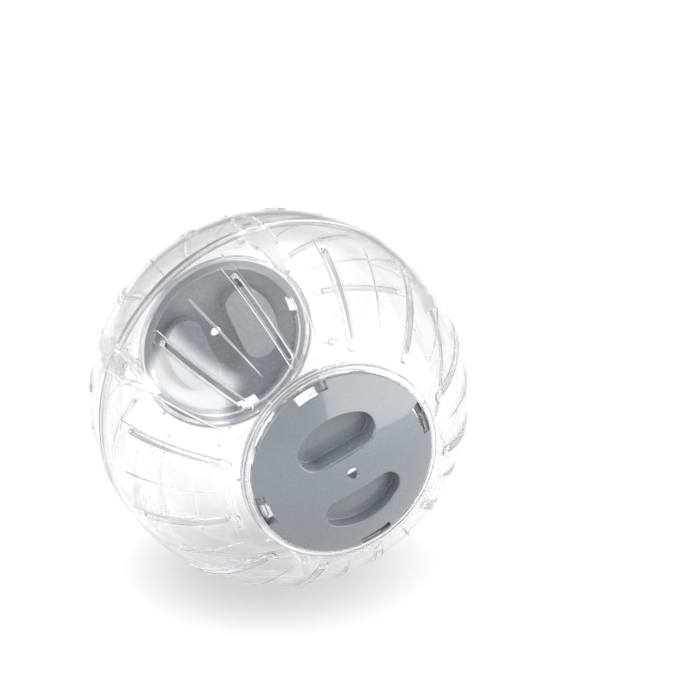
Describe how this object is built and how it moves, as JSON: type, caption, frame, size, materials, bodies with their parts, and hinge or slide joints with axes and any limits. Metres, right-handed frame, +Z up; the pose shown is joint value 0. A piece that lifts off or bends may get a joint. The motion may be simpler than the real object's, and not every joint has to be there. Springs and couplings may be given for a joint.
{
  "type": "hamster ball",
  "caption": "Clear round exercise ball for a small hamster, with vent slots, snapped half shells and a domed grey twist-lock lid at each end.",
  "frame": {"origin": "centre of the ball", "axes": "+Z up as the ball stands in the picture, -Y out of the front lid along the axis of the lids, +X to the right seen from the front lid"},
  "size_m": [0.14, 0.14, 0.14],
  "materials": {
    "clear_shell": "clear glossy polystyrene",
    "grey_lid": "glossy grey polystyrene"
  },
  "bodies": {
    "shell": {"front_half_shell": "clear_shell", "rear_half_shell": "clear_shell"},
    "front_lid": {"front_lid": "grey_lid"},
    "rear_lid": {"rear_lid": "grey_lid"}
  },
  "joints": [
    {"name": "front_lid_twist", "type": "hinge", "parent": "shell", "child": "front_lid", "pos_m": [0, -0.06, 0], "axis": [0, 1, 0], "range_deg": [0, 7]},
    {"name": "rear_lid_twist", "type": "hinge", "parent": "shell", "child": "rear_lid", "pos_m": [0, 0.06, 0], "axis": [0, -1, 0], "range_deg": [0, 7]}
  ]
}
